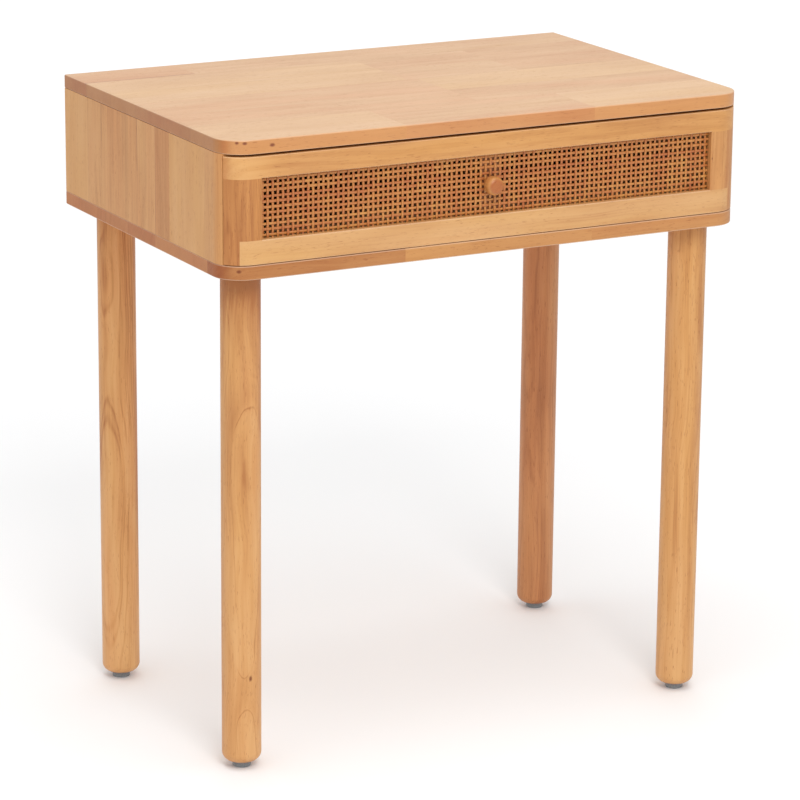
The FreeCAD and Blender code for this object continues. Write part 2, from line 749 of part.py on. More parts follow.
def make_drawer_box():
    """Two grooved sides, a back and a thin bottom that slides in the grooves."""
    for side, sign in SIDES.items():
        board = block(f"{side}_box_board", f"{sign} * {BOX_SIDE_MID}", FRONT_BACK, BOX_BOTTOM,
                      "Dims.box_wall", "Dims.box_length", "Dims.box_side_high")
        slot = block(f"{side}_slot", f"{sign} * ({BOX_WIDE} / 2 - Dims.slot_deep / 2)",
                     FRONT_BACK, SLOT_LOW,
                     "Dims.slot_deep", "Dims.box_length", "Dims.slot_high")
        board = eased(f"{side}_box_ease", board,
                      is_long_top_edge(f"{BOX_BOTTOM} + Dims.box_side_high"))
        finished(cut(f"{side}_box_cut", board, [slot, floor_space, side_dowels, box_screws]),
                 f"drawer_{side}_side")
    back = block("box_back_board", "0", f"{BOX_END} - Dims.box_wall", BOX_FLOOR_TOP,
                 f"{BOX_WIDE} - 2 * Dims.box_wall", "Dims.box_wall",
                 f"{BOX_BOTTOM} + Dims.box_back_high - {BOX_FLOOR_TOP}")
    back = eased("box_back_ease", back, is_long_top_edge(f"{BOX_BOTTOM} + Dims.box_back_high"))
    finished(cut("box_back_cut", back, [box_screws, floor_pins]), "drawer_back")
    finished(cut("box_floor_cut", floor_space, [floor_pins]), "drawer_bottom")


make_drawer_box()


# ---------------------------------------------------------------- checks and writing
def check_document():
    """Stop if any object failed to build or any sub-part's shape is bad."""
    doc.recompute()
    for item in doc.Objects:
        if "Invalid" in item.State or "Error" in item.State:
            raise RuntimeError(f"{item.Label} did not build: {item.State}")
    for piece in subparts:
        if piece.Shape.isNull() or not piece.Shape.isValid() or not piece.Shape.Solids:
            raise RuntimeError(f"{piece.Label} has a bad shape")


check_document()
os.makedirs("parts", exist_ok=True)
for piece in subparts:
    piece.Shape.exportStep(f"parts/{piece.Label}.step")
    print(piece.Label, len(piece.Shape.Solids), "solids", round(piece.Shape.Volume), "mm3")
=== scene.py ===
import math
import random

import bmesh
import bpy
from mathutils import Matrix, Vector


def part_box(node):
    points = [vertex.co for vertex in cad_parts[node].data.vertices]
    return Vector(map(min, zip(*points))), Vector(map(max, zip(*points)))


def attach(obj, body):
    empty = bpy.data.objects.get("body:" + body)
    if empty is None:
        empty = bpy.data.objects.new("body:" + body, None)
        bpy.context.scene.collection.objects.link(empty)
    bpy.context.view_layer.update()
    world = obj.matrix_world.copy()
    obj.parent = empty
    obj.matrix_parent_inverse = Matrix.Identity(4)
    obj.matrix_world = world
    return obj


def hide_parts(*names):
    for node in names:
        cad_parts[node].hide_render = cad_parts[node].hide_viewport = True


# A small wooden side table with one cane-front drawer, on a pale studio floor. Metres.
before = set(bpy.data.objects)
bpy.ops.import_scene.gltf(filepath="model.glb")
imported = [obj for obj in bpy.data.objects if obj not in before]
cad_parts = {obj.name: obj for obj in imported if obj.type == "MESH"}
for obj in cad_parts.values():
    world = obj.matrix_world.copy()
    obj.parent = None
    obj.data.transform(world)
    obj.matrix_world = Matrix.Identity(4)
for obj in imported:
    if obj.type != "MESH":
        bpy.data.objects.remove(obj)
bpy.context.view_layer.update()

MM = 0.001


def middle(node):
    """The centre of a node's box."""
    low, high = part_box(node)
    return (Vector(low) + Vector(high)) / 2


def low_corner(node):
    """The low corner of a node's box."""
    return Vector(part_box(node)[0])


def on_axis(values, axis):
    """One of three values, by the name of its axis."""
    return values["XYZ".index(axis)]


# ---------------------------------------------------------------- node helpers
def colour(red, green, blue):
    """A linear colour from the usual 0 to 255 values."""
    def linear(value):
        value /= 255
        return value / 12.92 if value <= 0.04045 else ((value + 0.055) / 1.055) ** 2.4
    return (linear(red), linear(green), linear(blue), 1.0)


def plug(tree, socket, value):
    """Link a socket to a socket, or set it to a plain value."""
    if isinstance(value, bpy.types.NodeSocket):
        tree.links.new(value, socket)
    else:
        socket.default_value = value


def maths(tree, operation, *values, clamp=False):
    """One Math node; returns its output."""
    node = tree.nodes.new("ShaderNodeMath")
    node.operation = operation
    node.use_clamp = clamp
    for socket, value in zip(node.inputs, values):
        plug(tree, socket, value)
    return node.outputs[0]


def stretched(tree, vector, scale=(1, 1, 1), shift=(0.0, 0.0, 0.0)):
    """A vector scaled and then shifted, axis by axis."""
    node = tree.nodes.new("ShaderNodeVectorMath")
    node.operation = "MULTIPLY_ADD"
    plug(tree, node.inputs[0], vector)
    plug(tree, node.inputs[1], scale)
    plug(tree, node.inputs[2], shift)
    return node.outputs[0]


def parts_of(tree, vector):
    """The three numbers of a vector."""
    node = tree.nodes.new("ShaderNodeSeparateXYZ")
    plug(tree, node.inputs[0], vector)
    return node.outputs


def vector_of(tree, x, y, z):
    """A vector from three numbers."""
    node = tree.nodes.new("ShaderNodeCombineXYZ")
    for socket, value in zip(node.inputs, (x, y, z)):
        plug(tree, socket, value)
    return node.outputs[0]


def noise(tree, vector, scale=1.0, detail=2.0):
    """Noise between 0 and 1 at a place."""
    node = tree.nodes.new("ShaderNodeTexNoise")
    plug(tree, node.inputs["Vector"], vector)
    node.inputs["Scale"].default_value = scale
    node.inputs["Detail"].default_value = detail
    return node.outputs["Fac"]


def spread(tree, value, low, high, new_low=0.0, new_high=1.0, smooth=True):
    """A number's range laid onto another range, clamped."""
    node = tree.nodes.new("ShaderNodeMapRange")
    node.interpolation_type = "SMOOTHSTEP" if smooth else "LINEAR"
    for socket, number in zip(node.inputs, (value, low, high, new_low, new_high)):
        plug(tree, socket, number)
    return node.outputs[0]


def ramp(tree, value, stops, constant=False):
    """A colour ramp; stops are (position, colour) pairs."""
    node = tree.nodes.new("ShaderNodeValToRGB")
    node.color_ramp.interpolation = "CONSTANT" if constant else "LINEAR"
    plug(tree, node.inputs[0], value)
    elements = node.color_ramp.elements
    while len(elements) > 1:
        elements.remove(elements[-1])
    elements[0].position, elements[0].color = stops[0]
    for position, shade in stops[1:]:
        elements.new(position).color = shade
    return node.outputs["Color"]


def mixed(tree, factor, first, second, blend="MIX"):
    """Two colours mixed."""
    node = tree.nodes.new("ShaderNodeMix")
    node.data_type = "RGBA"
    node.blend_type = blend
    plug(tree, node.inputs["Factor"], factor)
    plug(tree, node.inputs["A"], first)
    plug(tree, node.inputs["B"], second)
    return node.outputs["Result"]


def new_material(name):
    """An empty node material; returns it with its tree and its shader."""
    material = bpy.data.materials.new(name)
    material.use_nodes = True
    tree = material.node_tree
    return material, tree, tree.nodes["Principled BSDF"]


def raise_bumps(tree, shader, height, depth):
    """Feed a height, 0 to 1, to the shader's normal as a bump of a given depth."""
    node = tree.nodes.new("ShaderNodeBump")
    node.inputs["Strength"].default_value = 1.0
    node.inputs["Distance"].default_value = depth
    plug(tree, node.inputs["Height"], height)
    tree.links.new(node.outputs[0], shader.inputs["Normal"])


def object_place(tree):
    """The place of a point in the table's own frame, in metres."""
    return tree.nodes.new("ShaderNodeTexCoord").outputs["Object"]


def wear(node, material):
    """Give a CAD node its material."""
    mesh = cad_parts[node].data
    mesh.materials.clear()
    mesh.materials.append(material)


# ---------------------------------------------------------------- wood
# How fast each noise of the grain changes along, across and through the wood, a metre.
WANDER = (5.0, 14.0, 14.0)
BREAKS = (16.0, 70.0, 70.0)
SWAY = (11.0, 30.0, 30.0)
FINE_STREAKS = (14.0, 620.0, 620.0)
BROAD_STREAKS = (7.0, 130.0, 130.0)
CLOUDS = (9.0, 34.0, 34.0)
HUES = (6.0, 40.0, 40.0)
PORE_DASHES = (150.0, 2300.0, 2300.0)
PORE_CROWDS = (12.0, 160.0, 160.0)
HUE_SHIFT = (3.3, 8.1, 5.7)
# How fast the rings change outwards, and how far rings and streaks leave their course.
RINGS_A_METRE = 190.0
RING_WANDER = 20 * MM
STREAK_SWAY = (12 * MM, -9 * MM)
# How a seed moves the noise and the pith, and how much staves' seeds differ.
SEED_SHIFT = (1.37, 2.11, 3.19)
SEED_A_STAVE = 53.0
TURN_A_SEED = 7.31
PITH_AWAY = 60 * MM
# The relief and the shine of pores and dark wood, and the strength of drawn marks.
PORE_DEPTH = 0.04 * MM
LATE_WOOD_HEIGHT = 0.25
DULLER_DARK = 0.12
DULLER_PORES = 0.15
KNOT_SHAPE = (0.6, 1.0, 1.0)
KNOT_STRENGTH = 0.85
GLUE_STRENGTH = 0.2
DARK_GLUE_STRENGTH = 0.45
# How squarely a face looks along an axis, from not at all to fully, to count as a long
# edge with painted shade, as end grain, and as an eased edge with a painted highlight,
# more than upright but less than flat.
EDGE_ON = (0.25, 0.6)
END_ON = (0.6, 0.95)
ARRIS_FROM = (0.1, 0.3)
ARRIS_TO = (0.9, 0.99)


def swing(tree, value, amount):
    """A noise value as a swing round 0."""
    return maths(tree, "MULTIPLY", maths(tree, "SUBTRACT", value, 0.5), amount)


def grain_rings(tree, given, place):
    """Growth rings round the pith; the tree's waviness moves them in and out, and their
    dark lines fade in places."""
    reach = tree.nodes.new("ShaderNodeVectorMath")
    reach.operation = "SUBTRACT"
    plug(tree, reach.inputs[0], given["Place"])
    plug(tree, reach.inputs[1], given["Pith"])
    outward = parts_of(tree, reach.outputs[0])
    squares = maths(tree, "ADD", maths(tree, "MULTIPLY", outward[1], outward[1]),
                    maths(tree, "MULTIPLY", outward[2], outward[2]))
    wander = noise(tree, stretched(tree, place, WANDER), detail=3.0)
    radius = maths(tree, "ADD", maths(tree, "SQRT", squares), swing(tree, wander, RING_WANDER))
    radius = maths(tree, "ADD", radius, given["Swell"])
    rings = noise(tree, vector_of(tree, radius, given["Seed"], 0.0), scale=RINGS_A_METRE,
                  detail=1.0)
    near = maths(tree, "ABSOLUTE", maths(tree, "SUBTRACT", rings, 0.5))
    lines = spread(tree, near, 0.0, 0.05, 1.0, 0.0)
    broken = noise(tree, stretched(tree, place, BREAKS))
    lines = maths(tree, "MULTIPLY", lines, spread(tree, broken, 0.3, 0.52))
    late = maths(tree, "MULTIPLY", maths(tree, "SUBTRACT", lines, 0.3), given["Lines"])
    soft = maths(tree, "MULTIPLY", swing(tree, rings, 1.2), given["Lines"])
    return maths(tree, "ADD", late, soft)


def make_grain_group():
    """Solid wood grain. Place is in metres with its first axis along the grain, Pith is
    where the middle of the tree lies beside the piece, and Seed shuffles the noise.
    Tone and Tint swing round 0, and Pores is 1 in an open pore."""
    tree = bpy.data.node_groups.new("wood_grain", "ShaderNodeTree")
    for name, kind in (("Place", "Vector"), ("Pith", "Vector"), ("Seed", "Float"),
                       ("Swell", "Float"), ("Lines", "Float"), ("Streaks", "Float"),
                       ("Clouds", "Float")):
        tree.interface.new_socket(name, in_out="INPUT", socket_type=f"NodeSocket{kind}")
    for name in ("Tone", "Tint", "Pores"):
        tree.interface.new_socket(name, in_out="OUTPUT", socket_type="NodeSocketFloat")
    given = tree.nodes.new("NodeGroupInput").outputs
    made = tree.nodes.new("NodeGroupOutput").inputs
    shift = vector_of(tree, *(maths(tree, "MULTIPLY", given["Seed"], rate)
                              for rate in SEED_SHIFT))
    place = stretched(tree, given["Place"], shift=shift)

    # Streaks and pores run with the grain, which sways a little to the sides.
    sway = noise(tree, stretched(tree, place, SWAY), detail=1.0)
    sideways = [swing(tree, sway, amount) for amount in STREAK_SWAY]
    swayed = stretched(tree, vector_of(tree, 0.0, *sideways), shift=place)
    fine = noise(tree, stretched(tree, swayed, FINE_STREAKS))
    broad = noise(tree, stretched(tree, swayed, BROAD_STREAKS))
    streaks = maths(tree, "ADD", swing(tree, fine, 0.6), swing(tree, broad, 1.0))

    clouds = noise(tree, stretched(tree, place, CLOUDS), detail=3.0)
    cloudy = maths(tree, "MULTIPLY", swing(tree, clouds, 1.0), given["Clouds"])
    tone = maths(tree, "ADD", grain_rings(tree, given, place),
                 maths(tree, "MULTIPLY", streaks, given["Streaks"]))
    tree.links.new(maths(tree, "ADD", tone, cloudy), made["Tone"])

    hue = noise(tree, stretched(tree, place, HUES, HUE_SHIFT))
    tree.links.new(swing(tree, hue, 2.4), made["Tint"])

    dashes = noise(tree, stretched(tree, swayed, PORE_DASHES), detail=0.0)
    crowd = noise(tree, stretched(tree, place, PORE_CROWDS), detail=1.0)
    edge = maths(tree, "MULTIPLY_ADD", crowd, -0.16, 0.81)
    pores = spread(tree, dashes, edge, maths(tree, "ADD", edge, 0.06))
    tree.links.new(pores, made["Pores"])
    return tree


GRAIN = make_grain_group()


def board_rows(tree, along, across, rows):
    """Tone and tint of each stave of a glued board, and how near a point is to a glue
    line. Rows are (width, blocks) in millimetres; blocks are (length, tone, tint). Tone
    and tint travel together, as the red and the green of one colour."""
    shade = None
    seam = 1.0
    edge = 0.0
    board_long = sum(block[0] for block in rows[0][1]) * MM
    share = maths(tree, "DIVIDE", along, board_long)
    for width, blocks in rows:
        place, stops = 0.0, []
        for length, tone, tint in blocks:
            stops.append((place / board_long, (tone, 0.5 + 0.5 * tint, 0, 1)))
            place += length * MM
        row = ramp(tree, share, stops, constant=True)
        if shade is None:
            shade = row
        else:
            shade = mixed(tree, maths(tree, "GREATER_THAN", across, edge), shade, row)
            gap = maths(tree, "ABSOLUTE", maths(tree, "SUBTRACT", across, edge))
            seam = maths(tree, "MINIMUM", seam, gap)
        edge += width * MM
    split = tree.nodes.new("ShaderNodeSeparateColor")
    plug(tree, split.inputs[0], shade)
    tint = maths(tree, "MULTIPLY_ADD", split.outputs[1], 2.0, -1.0)
    return split.outputs[0], tint, seam


def random_rows(seed, node, axes):
    """Staves for a board that isn't laid out by hand, in millimetres."""
    low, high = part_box(node)
    length, width = (round((on_axis(high, axis) - on_axis(low, axis)) / MM, 1)
                     for axis in axes[:2])
    usual, shortest = max(length, 220), 60
    draw = random.Random(seed)
    rows = []
    reached = 0.0
    while reached < width:
        blocks = []
        filled = 0.0
        while filled < length:
            piece = draw.uniform(0.35, 0.75) * usual
            piece = length - filled if length - filled - piece < shortest else piece
            blocks.append((piece, draw.uniform(0.36, 0.62), draw.uniform(-0.6, 0.6)))
            filled += piece
        rows.append((draw.uniform(38, 58), blocks))
        reached += rows[-1][0]
    return rows


# Ladders of colour from the palest to the darkest wood of a piece.
PEACH = (colour(210, 168, 120), colour(197, 152, 104), colour(176, 119, 71))
HONEY = (colour(218, 167, 110), colour(204, 148, 90), colour(170, 108, 58))
AMBER = (colour(206, 149, 88), colour(192, 130, 72), colour(156, 94, 46))
ROSE = (colour(206, 151, 99), colour(191, 130, 82), colour(156, 97, 58))
CREAM = (colour(219, 173, 120), colour(205, 155, 102), colour(176, 117, 70))
PALE = (colour(222, 188, 144), colour(210, 172, 126), colour(184, 142, 98))
# The batten's dark brown ladder also paints the shade it lies in behind the cane.
UMBER_AND_SHADE = (colour(134, 80, 42), colour(112, 62, 30), colour(84, 44, 20))
PINKER = colour(255, 242, 234)
YELLOWER = colour(254, 251, 232)
# Painted highlight for eased edges, which also stands for rubbed lacquer.
ARRIS_HIGHLIGHT_AND_WEAR = colour(255, 244, 226)
KNOT = colour(112, 46, 10)


def humps(tree, along, places, unit):
    """The sum of smooth humps along the grain; places are (along, length, size)."""
    total = 0.0
    for place, length, size in places:
        away = maths(tree, "DIVIDE", maths(tree, "SUBTRACT", along, place * MM), length * MM)
        falling = maths(tree, "MULTIPLY", maths(tree, "MULTIPLY", away, away), -1.0)
        hump = maths(tree, "MULTIPLY", maths(tree, "EXPONENT", falling), size * unit)
        total = maths(tree, "ADD", total, hump)
    return total


def with_glue_lines(tree, base, dark, along, across, seams):
    """Single dark glue lines drawn over a colour."""
    for start, end, place, half in seams:
        gap = maths(tree, "ABSOLUTE", maths(tree, "SUBTRACT", across, place * MM))
        inside = maths(tree, "MULTIPLY", maths(tree, "GREATER_THAN", along, start * MM),
                       maths(tree, "LESS_THAN", along, end * MM))
        line = spread(tree, gap, 0.3 * half * MM, half * MM, DARK_GLUE_STRENGTH, 0.0)
        base = mixed(tree, maths(tree, "MULTIPLY", line, inside), base, dark, "MULTIPLY")
    return base


def with_knots(tree, base, local, knots):
    """Small dark knots, longer along the grain, drawn over a colour."""
    for *centre, radius in knots:
        gap = tree.nodes.new("ShaderNodeVectorMath")
        gap.operation = "DISTANCE"
        plug(tree, gap.inputs[0], stretched(tree, local, KNOT_SHAPE))
        gap.inputs[1].default_value = [place * share * MM
                                       for place, share in zip(centre, KNOT_SHAPE)]
        core = spread(tree, gap.outputs["Value"], radius * 0.3 * MM, radius * MM,
                      KNOT_STRENGTH, 0.0)
        base = mixed(tree, core, base, KNOT)
    return base


def by_facing(tree, base, axes, end_shade, edge_shade, arris):
    """A board's long upright faces get painted shade, its end grain is darker and pinker,
    and its eased edges are painted paler, a painted highlight that also stands for rubbed
    lacquer."""
    facing = parts_of(tree, tree.nodes.new("ShaderNodeTexCoord").outputs["Normal"])
    # Painted shade: upright long faces are darkened by how they face, as if turned from the
    # light.
    if edge_shade:
        sideways = maths(tree, "ABSOLUTE", on_axis(facing, axes[1]))
        painted_shade_faces = spread(tree, sideways, *EDGE_ON)
        base = mixed(tree, painted_shade_faces, base, mixed(tree, 1.0, base, edge_shade, "MULTIPLY"))
    square_on = maths(tree, "ABSOLUTE", on_axis(facing, axes[0]))
    ends = spread(tree, square_on, *END_ON)
    base = mixed(tree, ends, base, mixed(tree, 1.0, base, end_shade, "MULTIPLY"))
    # Painted highlight on eased edges, which also stands for rubbed lacquer.
    if arris:
        upward = maths(tree, "ABSOLUTE", on_axis(facing, "Z"))
        highlight_and_wear = maths(tree, "MULTIPLY", spread(tree, upward, *ARRIS_FROM, 0.0, arris),
                       spread(tree, upward, *ARRIS_TO, 1.0, 0.0))
        base = mixed(tree, highlight_and_wear, base, ARRIS_HIGHLIGHT_AND_WEAR)
    return base


def wood(name, place_from, axes, ladder, seed, rows=None, pith=None, lines=0.18, streaks=0.2,
         clouds=0.4, tint=0.0, pore_shade=0.45, swells=(), bands=(), knots=(), seams=(),
         end_shade=colour(232, 208, 192), edge_shade=None, arris=0.0, roughness=0.42,
         refraction=1.45):
    """A lacquered wood. place_from is the point, in metres, that the grain is laid out
    from; axes gives the frame's axes along, across and through the board. Swells are
    (along, length, size) bulges of the rings, bands are (along, length, tone) darker
    stretches, lighter where the tone is below 0, and on the legs partly painted shadow and
    light, knots are (along, across, through, radius), and seams are dark glue lines
    (start, end, across, half width), all in millimetres. The edge colour paints shade on
    upright long faces, and arris paints a highlight, with wear, on eased edges."""
    material, tree, shader = new_material(name)
    spot = parts_of(tree, object_place(tree))
    along, across, through = [maths(tree, "SUBTRACT", on_axis(spot, axis),
                                    on_axis(place_from, axis)) for axis in axes]
    local = vector_of(tree, along, across, through)
    stave, seam = 0.5, None
    if rows:
        stave, tint, seam = board_rows(tree, along, across, rows)
        seed = maths(tree, "MULTIPLY_ADD", maths(tree, "ADD", stave, tint), SEED_A_STAVE,
                     seed)
    if pith is None:
        turn = maths(tree, "MULTIPLY", seed, TURN_A_SEED)
        pith = vector_of(tree, 0.0, *(maths(tree, "MULTIPLY", maths(tree, wave, turn), PITH_AWAY)
                                      for wave in ("SINE", "COSINE")))

    grain = tree.nodes.new("ShaderNodeGroup")
    grain.node_tree = GRAIN
    for socket, value in (("Place", local), ("Pith", pith), ("Seed", seed),
                          ("Swell", humps(tree, along, swells, MM)), ("Lines", lines),
                          ("Streaks", streaks), ("Clouds", clouds)):
        plug(tree, grain.inputs[socket], value)
    # Stave tone plus the bands, some of which are painted shadow and light.
    level = maths(tree, "ADD", stave, humps(tree, along, bands, 1.0))
    tone = maths(tree, "ADD", grain.outputs["Tone"], level, clamp=True)
    pale, middling, dark = ladder
    base = ramp(tree, tone, [(0.0, pale), (0.5, middling), (1.0, dark)])
    lean = maths(tree, "ADD", grain.outputs["Tint"], tint)
    base = mixed(tree, spread(tree, lean, 0.0, 1.0, smooth=False), base, PINKER, "MULTIPLY")
    base = mixed(tree, spread(tree, lean, 0.0, -1.0, smooth=False), base, YELLOWER, "MULTIPLY")
    pores = grain.outputs["Pores"]
    base = mixed(tree, maths(tree, "MULTIPLY", pores, pore_shade), base, dark, "MULTIPLY")
    if seam is not None:
        line = spread(tree, seam, 0.1 * MM, 0.5 * MM, GLUE_STRENGTH, 0.0)
        base = mixed(tree, line, base, dark, "MULTIPLY")
    base = with_glue_lines(tree, base, dark, along, across, seams)
    base = with_knots(tree, base, local, knots)
    # Painted shade on upright long faces, and a painted highlight, with wear, on eased edges.
    base = by_facing(tree, base, axes, end_shade, edge_shade, arris)
    tree.links.new(base, shader.inputs["Base Color"])

    duller = maths(tree, "MULTIPLY_ADD", tone, DULLER_DARK, roughness - DULLER_DARK / 3)
    tree.links.new(maths(tree, "MULTIPLY_ADD", pores, DULLER_PORES, duller),
                   shader.inputs["Roughness"])
    shader.inputs["IOR"].default_value = refraction
    height = maths(tree, "SUBTRACT", maths(tree, "MULTIPLY", tone, LATE_WOOD_HEIGHT), pores)
    raise_bumps(tree, shader, height, PORE_DEPTH)
    return material


# Staves of the boards that show most: (width, [(length, tone, tint), ...]), from the low
# corner.
TOP_STAVES = [
    (68, [(166, 0.38, -0.3), (180, 0.50, 0.3), (154, 0.28, -0.4)]),
    (52, [(270, 0.55, 0.5), (230, 0.54, 0.3)]),
    (58, [(270, 0.52, 0.4), (230, 0.36, -0.6)]),
    (52, [(260, 0.40, -0.5), (115, 0.48, 0.2), (125, 0.56, 0.4)]),
    (52, [(260, 0.42, -0.4), (115, 0.50, 0.2), (125, 0.56, 0.3)]),
    (48, [(105, 0.57, 0.5), (395, 0.50, 0.0)]),
]
SIDE_STAVES = [
    (27, [(93, 0.50, 0.3)]),
    (70, [(93, 0.38, -0.5)]),
    (28, [(93, 0.68, 0.4)]),
    (37, [(93, 0.50, 0.3)]),
    (75, [(93, 0.57, 0.3)]),
    (30, [(93, 0.50, -0.2)]),
    (50, [(93, 0.36, -0.5)]),
]
BOTTOM_STAVES = [
    (36, [(166, 0.90, 0.2), (180, 0.68, -0.3), (154, 0.70, 0.0)]),
    (54, [(240, 0.45, 0.2), (260, 0.58, -0.3)]),
    (50, [(330, 0.38, -0.4), (170, 0.55, 0.3)]),
    (56, [(150, 0.60, 0.4), (350, 0.42, 0.0)]),
    (48, [(280, 0.52, -0.2), (220, 0.40, 0.3)]),
    (86, [(200, 0.55, 0.5), (300, 0.58, 0.0)]),
]


def wear_wood(node, lay_from, axes, ladder, seed, rows=None, **looks):
    """Give a CAD node a wood of its own, laid out from its middle or its low_corner."""
    wear(node, wood(f"wood_{node}", lay_from(node), axes, ladder, seed, rows, **looks))


def dress_boards():
    """Materials of the case's boards."""
    # The top's edge colour paints shade on its upright edges, and arris paints a highlight, with
    # wear, on its eased edges.
    wear_wood("top_panel", low_corner, "XYZ", PEACH, 1.3, TOP_STAVES, lines=0.08,
              streaks=0.28, clouds=0.7, arris=0.15, roughness=0.38, refraction=1.55,
              end_shade=colour(226, 194, 156), edge_shade=colour(255, 229, 206),
              knots=[(11.5, 3.8, 10.0, 1.7), (17.5, 1.1, 9.6, 1.8), (42, 0, 6.6, 2.0)],
              seams=[(0, 105, 283.5, 1.6)])
    # arris paints a highlight, with wear, on the bottom's eased edges.
    wear_wood("bottom_panel", low_corner, "XYZ", HONEY, 4.1, BOTTOM_STAVES, lines=0.1,
              arris=0.2, end_shade=colour(228, 200, 178), knots=[(13, 3.2, 7.6, 2.1)])
    for number, side in enumerate(("left", "right")):
        wear_wood(f"{side}_side_panel", low_corner, "ZYX", HONEY, 2.6 + number, SIDE_STAVES,
                  lines=0.1, streaks=0.45, clouds=0.5,
                  seams=[(60, 93, 237, 0.6), (48, 93, 162, 0.7), (0, 93, 125, 0.4)])
    wear_wood("back_panel", low_corner, "XZY", HONEY, 8.2,
              random_rows(5, "back_panel", "XZY"), lines=0.1)


def dress_legs():
    """One material a leg, so that no two are cut from the same place in the tree."""
    # Bands at 222 mm, the top of each leg, are painted shadow under the case; those at -222 mm
    # paint light at the foot.
    wear_wood("front_left_leg", middle, "ZXY", HONEY, 2.25, pith=(0.0, 0.004, 0.05),
              lines=0.38, streaks=0.8, clouds=0.6, tint=-0.1,
              bands=[(222, 50, 0.75), (50, 130, 0.09), (-222, 90, -0.15)],
              swells=[(51, 60, 6), (-151, 17, -4), (160, 50, -4)],
              knots=[(-138, 0.5, -17, 2.0)])
    wear_wood("front_right_leg", middle, "ZXY", HONEY, 3.1, pith=(0.0, -0.12, 0.05),
              lines=0.2, streaks=0.85, clouds=0.5, tint=-0.2, pore_shade=0.6,
              bands=[(222, 25, 0.35), (-222, 170, -0.2)])
    wear_wood("back_left_leg", middle, "ZXY", HONEY, 5.4, pith=(0.0, 0.05, 0.03),
              lines=0.32, streaks=0.9, clouds=0.8, tint=0.2, swells=[(-40, 120, 9)],
              bands=[(222, 30, 0.3), (30, 120, 0.12), (-222, 120, -0.25)])
    wear_wood("back_right_leg", middle, "ZXY", ROSE, 7.9, pith=(0.0, 0.08, 0.04),
              lines=0.2, streaks=0.6, clouds=0.7, tint=0.2, bands=[(222, 30, 0.25)])


def dress_front():
    """Rails, stiles, beads, batten and knob of the drawer's front."""
    for rail, ladder, seed, bands in (
            ("front_top_rail", HONEY, 11.7, [(-232, 22, -0.3)]),
            ("front_bottom_rail", CREAM, 14.0, [(-60, 150, -0.12)])):
        # arris paints a highlight, with wear, on the rails' eased edges.
        wear_wood(rail, middle, "XZY", ladder, seed, streaks=0.4, lines=0.1, clouds=0.8,
                  tint=-0.3, bands=bands, arris=0.12)
    for stile, ladder, seed, knots in (
            ("front_left_stile", AMBER, 15.2, ()),
            ("front_right_stile", HONEY, 17.1, [(12.5, -14, -6.6, 1.1)])):
        wear_wood(stile, middle, "ZXY", ladder, seed, streaks=0.7, lines=0.15,
                  bands=[(0, 100, 0.15)], end_shade=(1, 1, 1, 1), knots=knots)
    level = wood("wood_level_bead", middle("cane_panel"), "XZY", HONEY, 20.3)
    upright = wood("wood_upright_bead", middle("cane_panel"), "ZXY", AMBER, 21.4)
    for side in ("left", "right"):
        wear(f"{side}_cane_bead", upright)
        for end in ("top", "bottom"):
            wear(f"{end}_{side}_cane_bead", level)
    # The batten's dark wood is partly painted shade behind the cane.
    wear_wood("knob_batten", middle, "ZXY", UMBER_AND_SHADE, 22.5, roughness=0.6)
    wear_wood("knob", middle, "YXZ", AMBER, 24.4, lines=0.12, streaks=0.1, roughness=0.34,
              end_shade=colour(228, 196, 190))


def dress_drawer():
    """The drawer box, the runners and the stop: plainer, paler wood with no lacquer. The
    dowels of one direction share a wood."""
    for number, side in enumerate(("left", "right")):
        node = f"drawer_{side}_side"
        wear_wood(node, low_corner, "YZX", PALE, 31.0 + number,
                  random_rows(7 + number, node, "YZX"), roughness=0.55)
        wear_wood(f"{side}_runner", middle, "YZX", PALE, 35.0 + number, roughness=0.5)
    wear_wood("drawer_back", low_corner, "XZY", PALE, 33.3,
              random_rows(9, "drawer_back", "XZY"), roughness=0.55)
    wear_wood("drawer_bottom", middle, "XYZ", PALE, 40.1, roughness=0.55, lines=0.35,
              clouds=0.5)
    wear_wood("drawer_stop", middle, "XYZ", PALE, 41.7, roughness=0.55)
    origin = (0, 0, 0)
    upright = wood("wood_upright_dowel", origin, "ZXY", PALE, 43.0, roughness=0.6)
    wear("case_dowels", upright)
    wear("front_frame_dowels", upright)
    wear("back_panel_dowels",
         wood("wood_cross_dowel", origin, "XYZ", PALE, 44.0, roughness=0.6))
    wear("drawer_side_dowels",
         wood("wood_deep_dowel", origin, "YXZ", PALE, 45.0, roughness=0.6))


# ---------------------------------------------------------------- metal and plastic
def zinc_steel():
    """Bright zinc-plated steel with a fine grain and a faint mottle."""
    material, tree, shader = new_material("zinc_steel")
    place = object_place(tree)
    mottle = noise(tree, place, scale=900.0, detail=3.0)
    base = ramp(tree, mottle, [(0.3, colour(168, 170, 172)), (0.7, colour(206, 207, 206))])
    tree.links.new(base, shader.inputs["Base Color"])
    tree.links.new(spread(tree, mottle, 0.2, 0.8, 0.25, 0.42), shader.inputs["Roughness"])
    shader.inputs["Metallic"].default_value = 1.0
    raise_bumps(tree, shader, noise(tree, place, scale=2500.0), 0.02 * MM)
    return material


def grey_plastic():
    """Moulded grey nylon with a fine speckle and a soft shine."""
    material, tree, shader = new_material("grey_plastic")
    place = object_place(tree)
    speckle = noise(tree, place, scale=1400.0, detail=3.0)
    base = ramp(tree, speckle, [(0.3, colour(112, 117, 120)), (0.7, colour(146, 150, 152))])
    tree.links.new(base, shader.inputs["Base Color"])
    tree.links.new(spread(tree, speckle, 0.2, 0.8, 0.26, 0.38), shader.inputs["Roughness"])
    raise_bumps(tree, shader, speckle, 0.03 * MM)
    return material


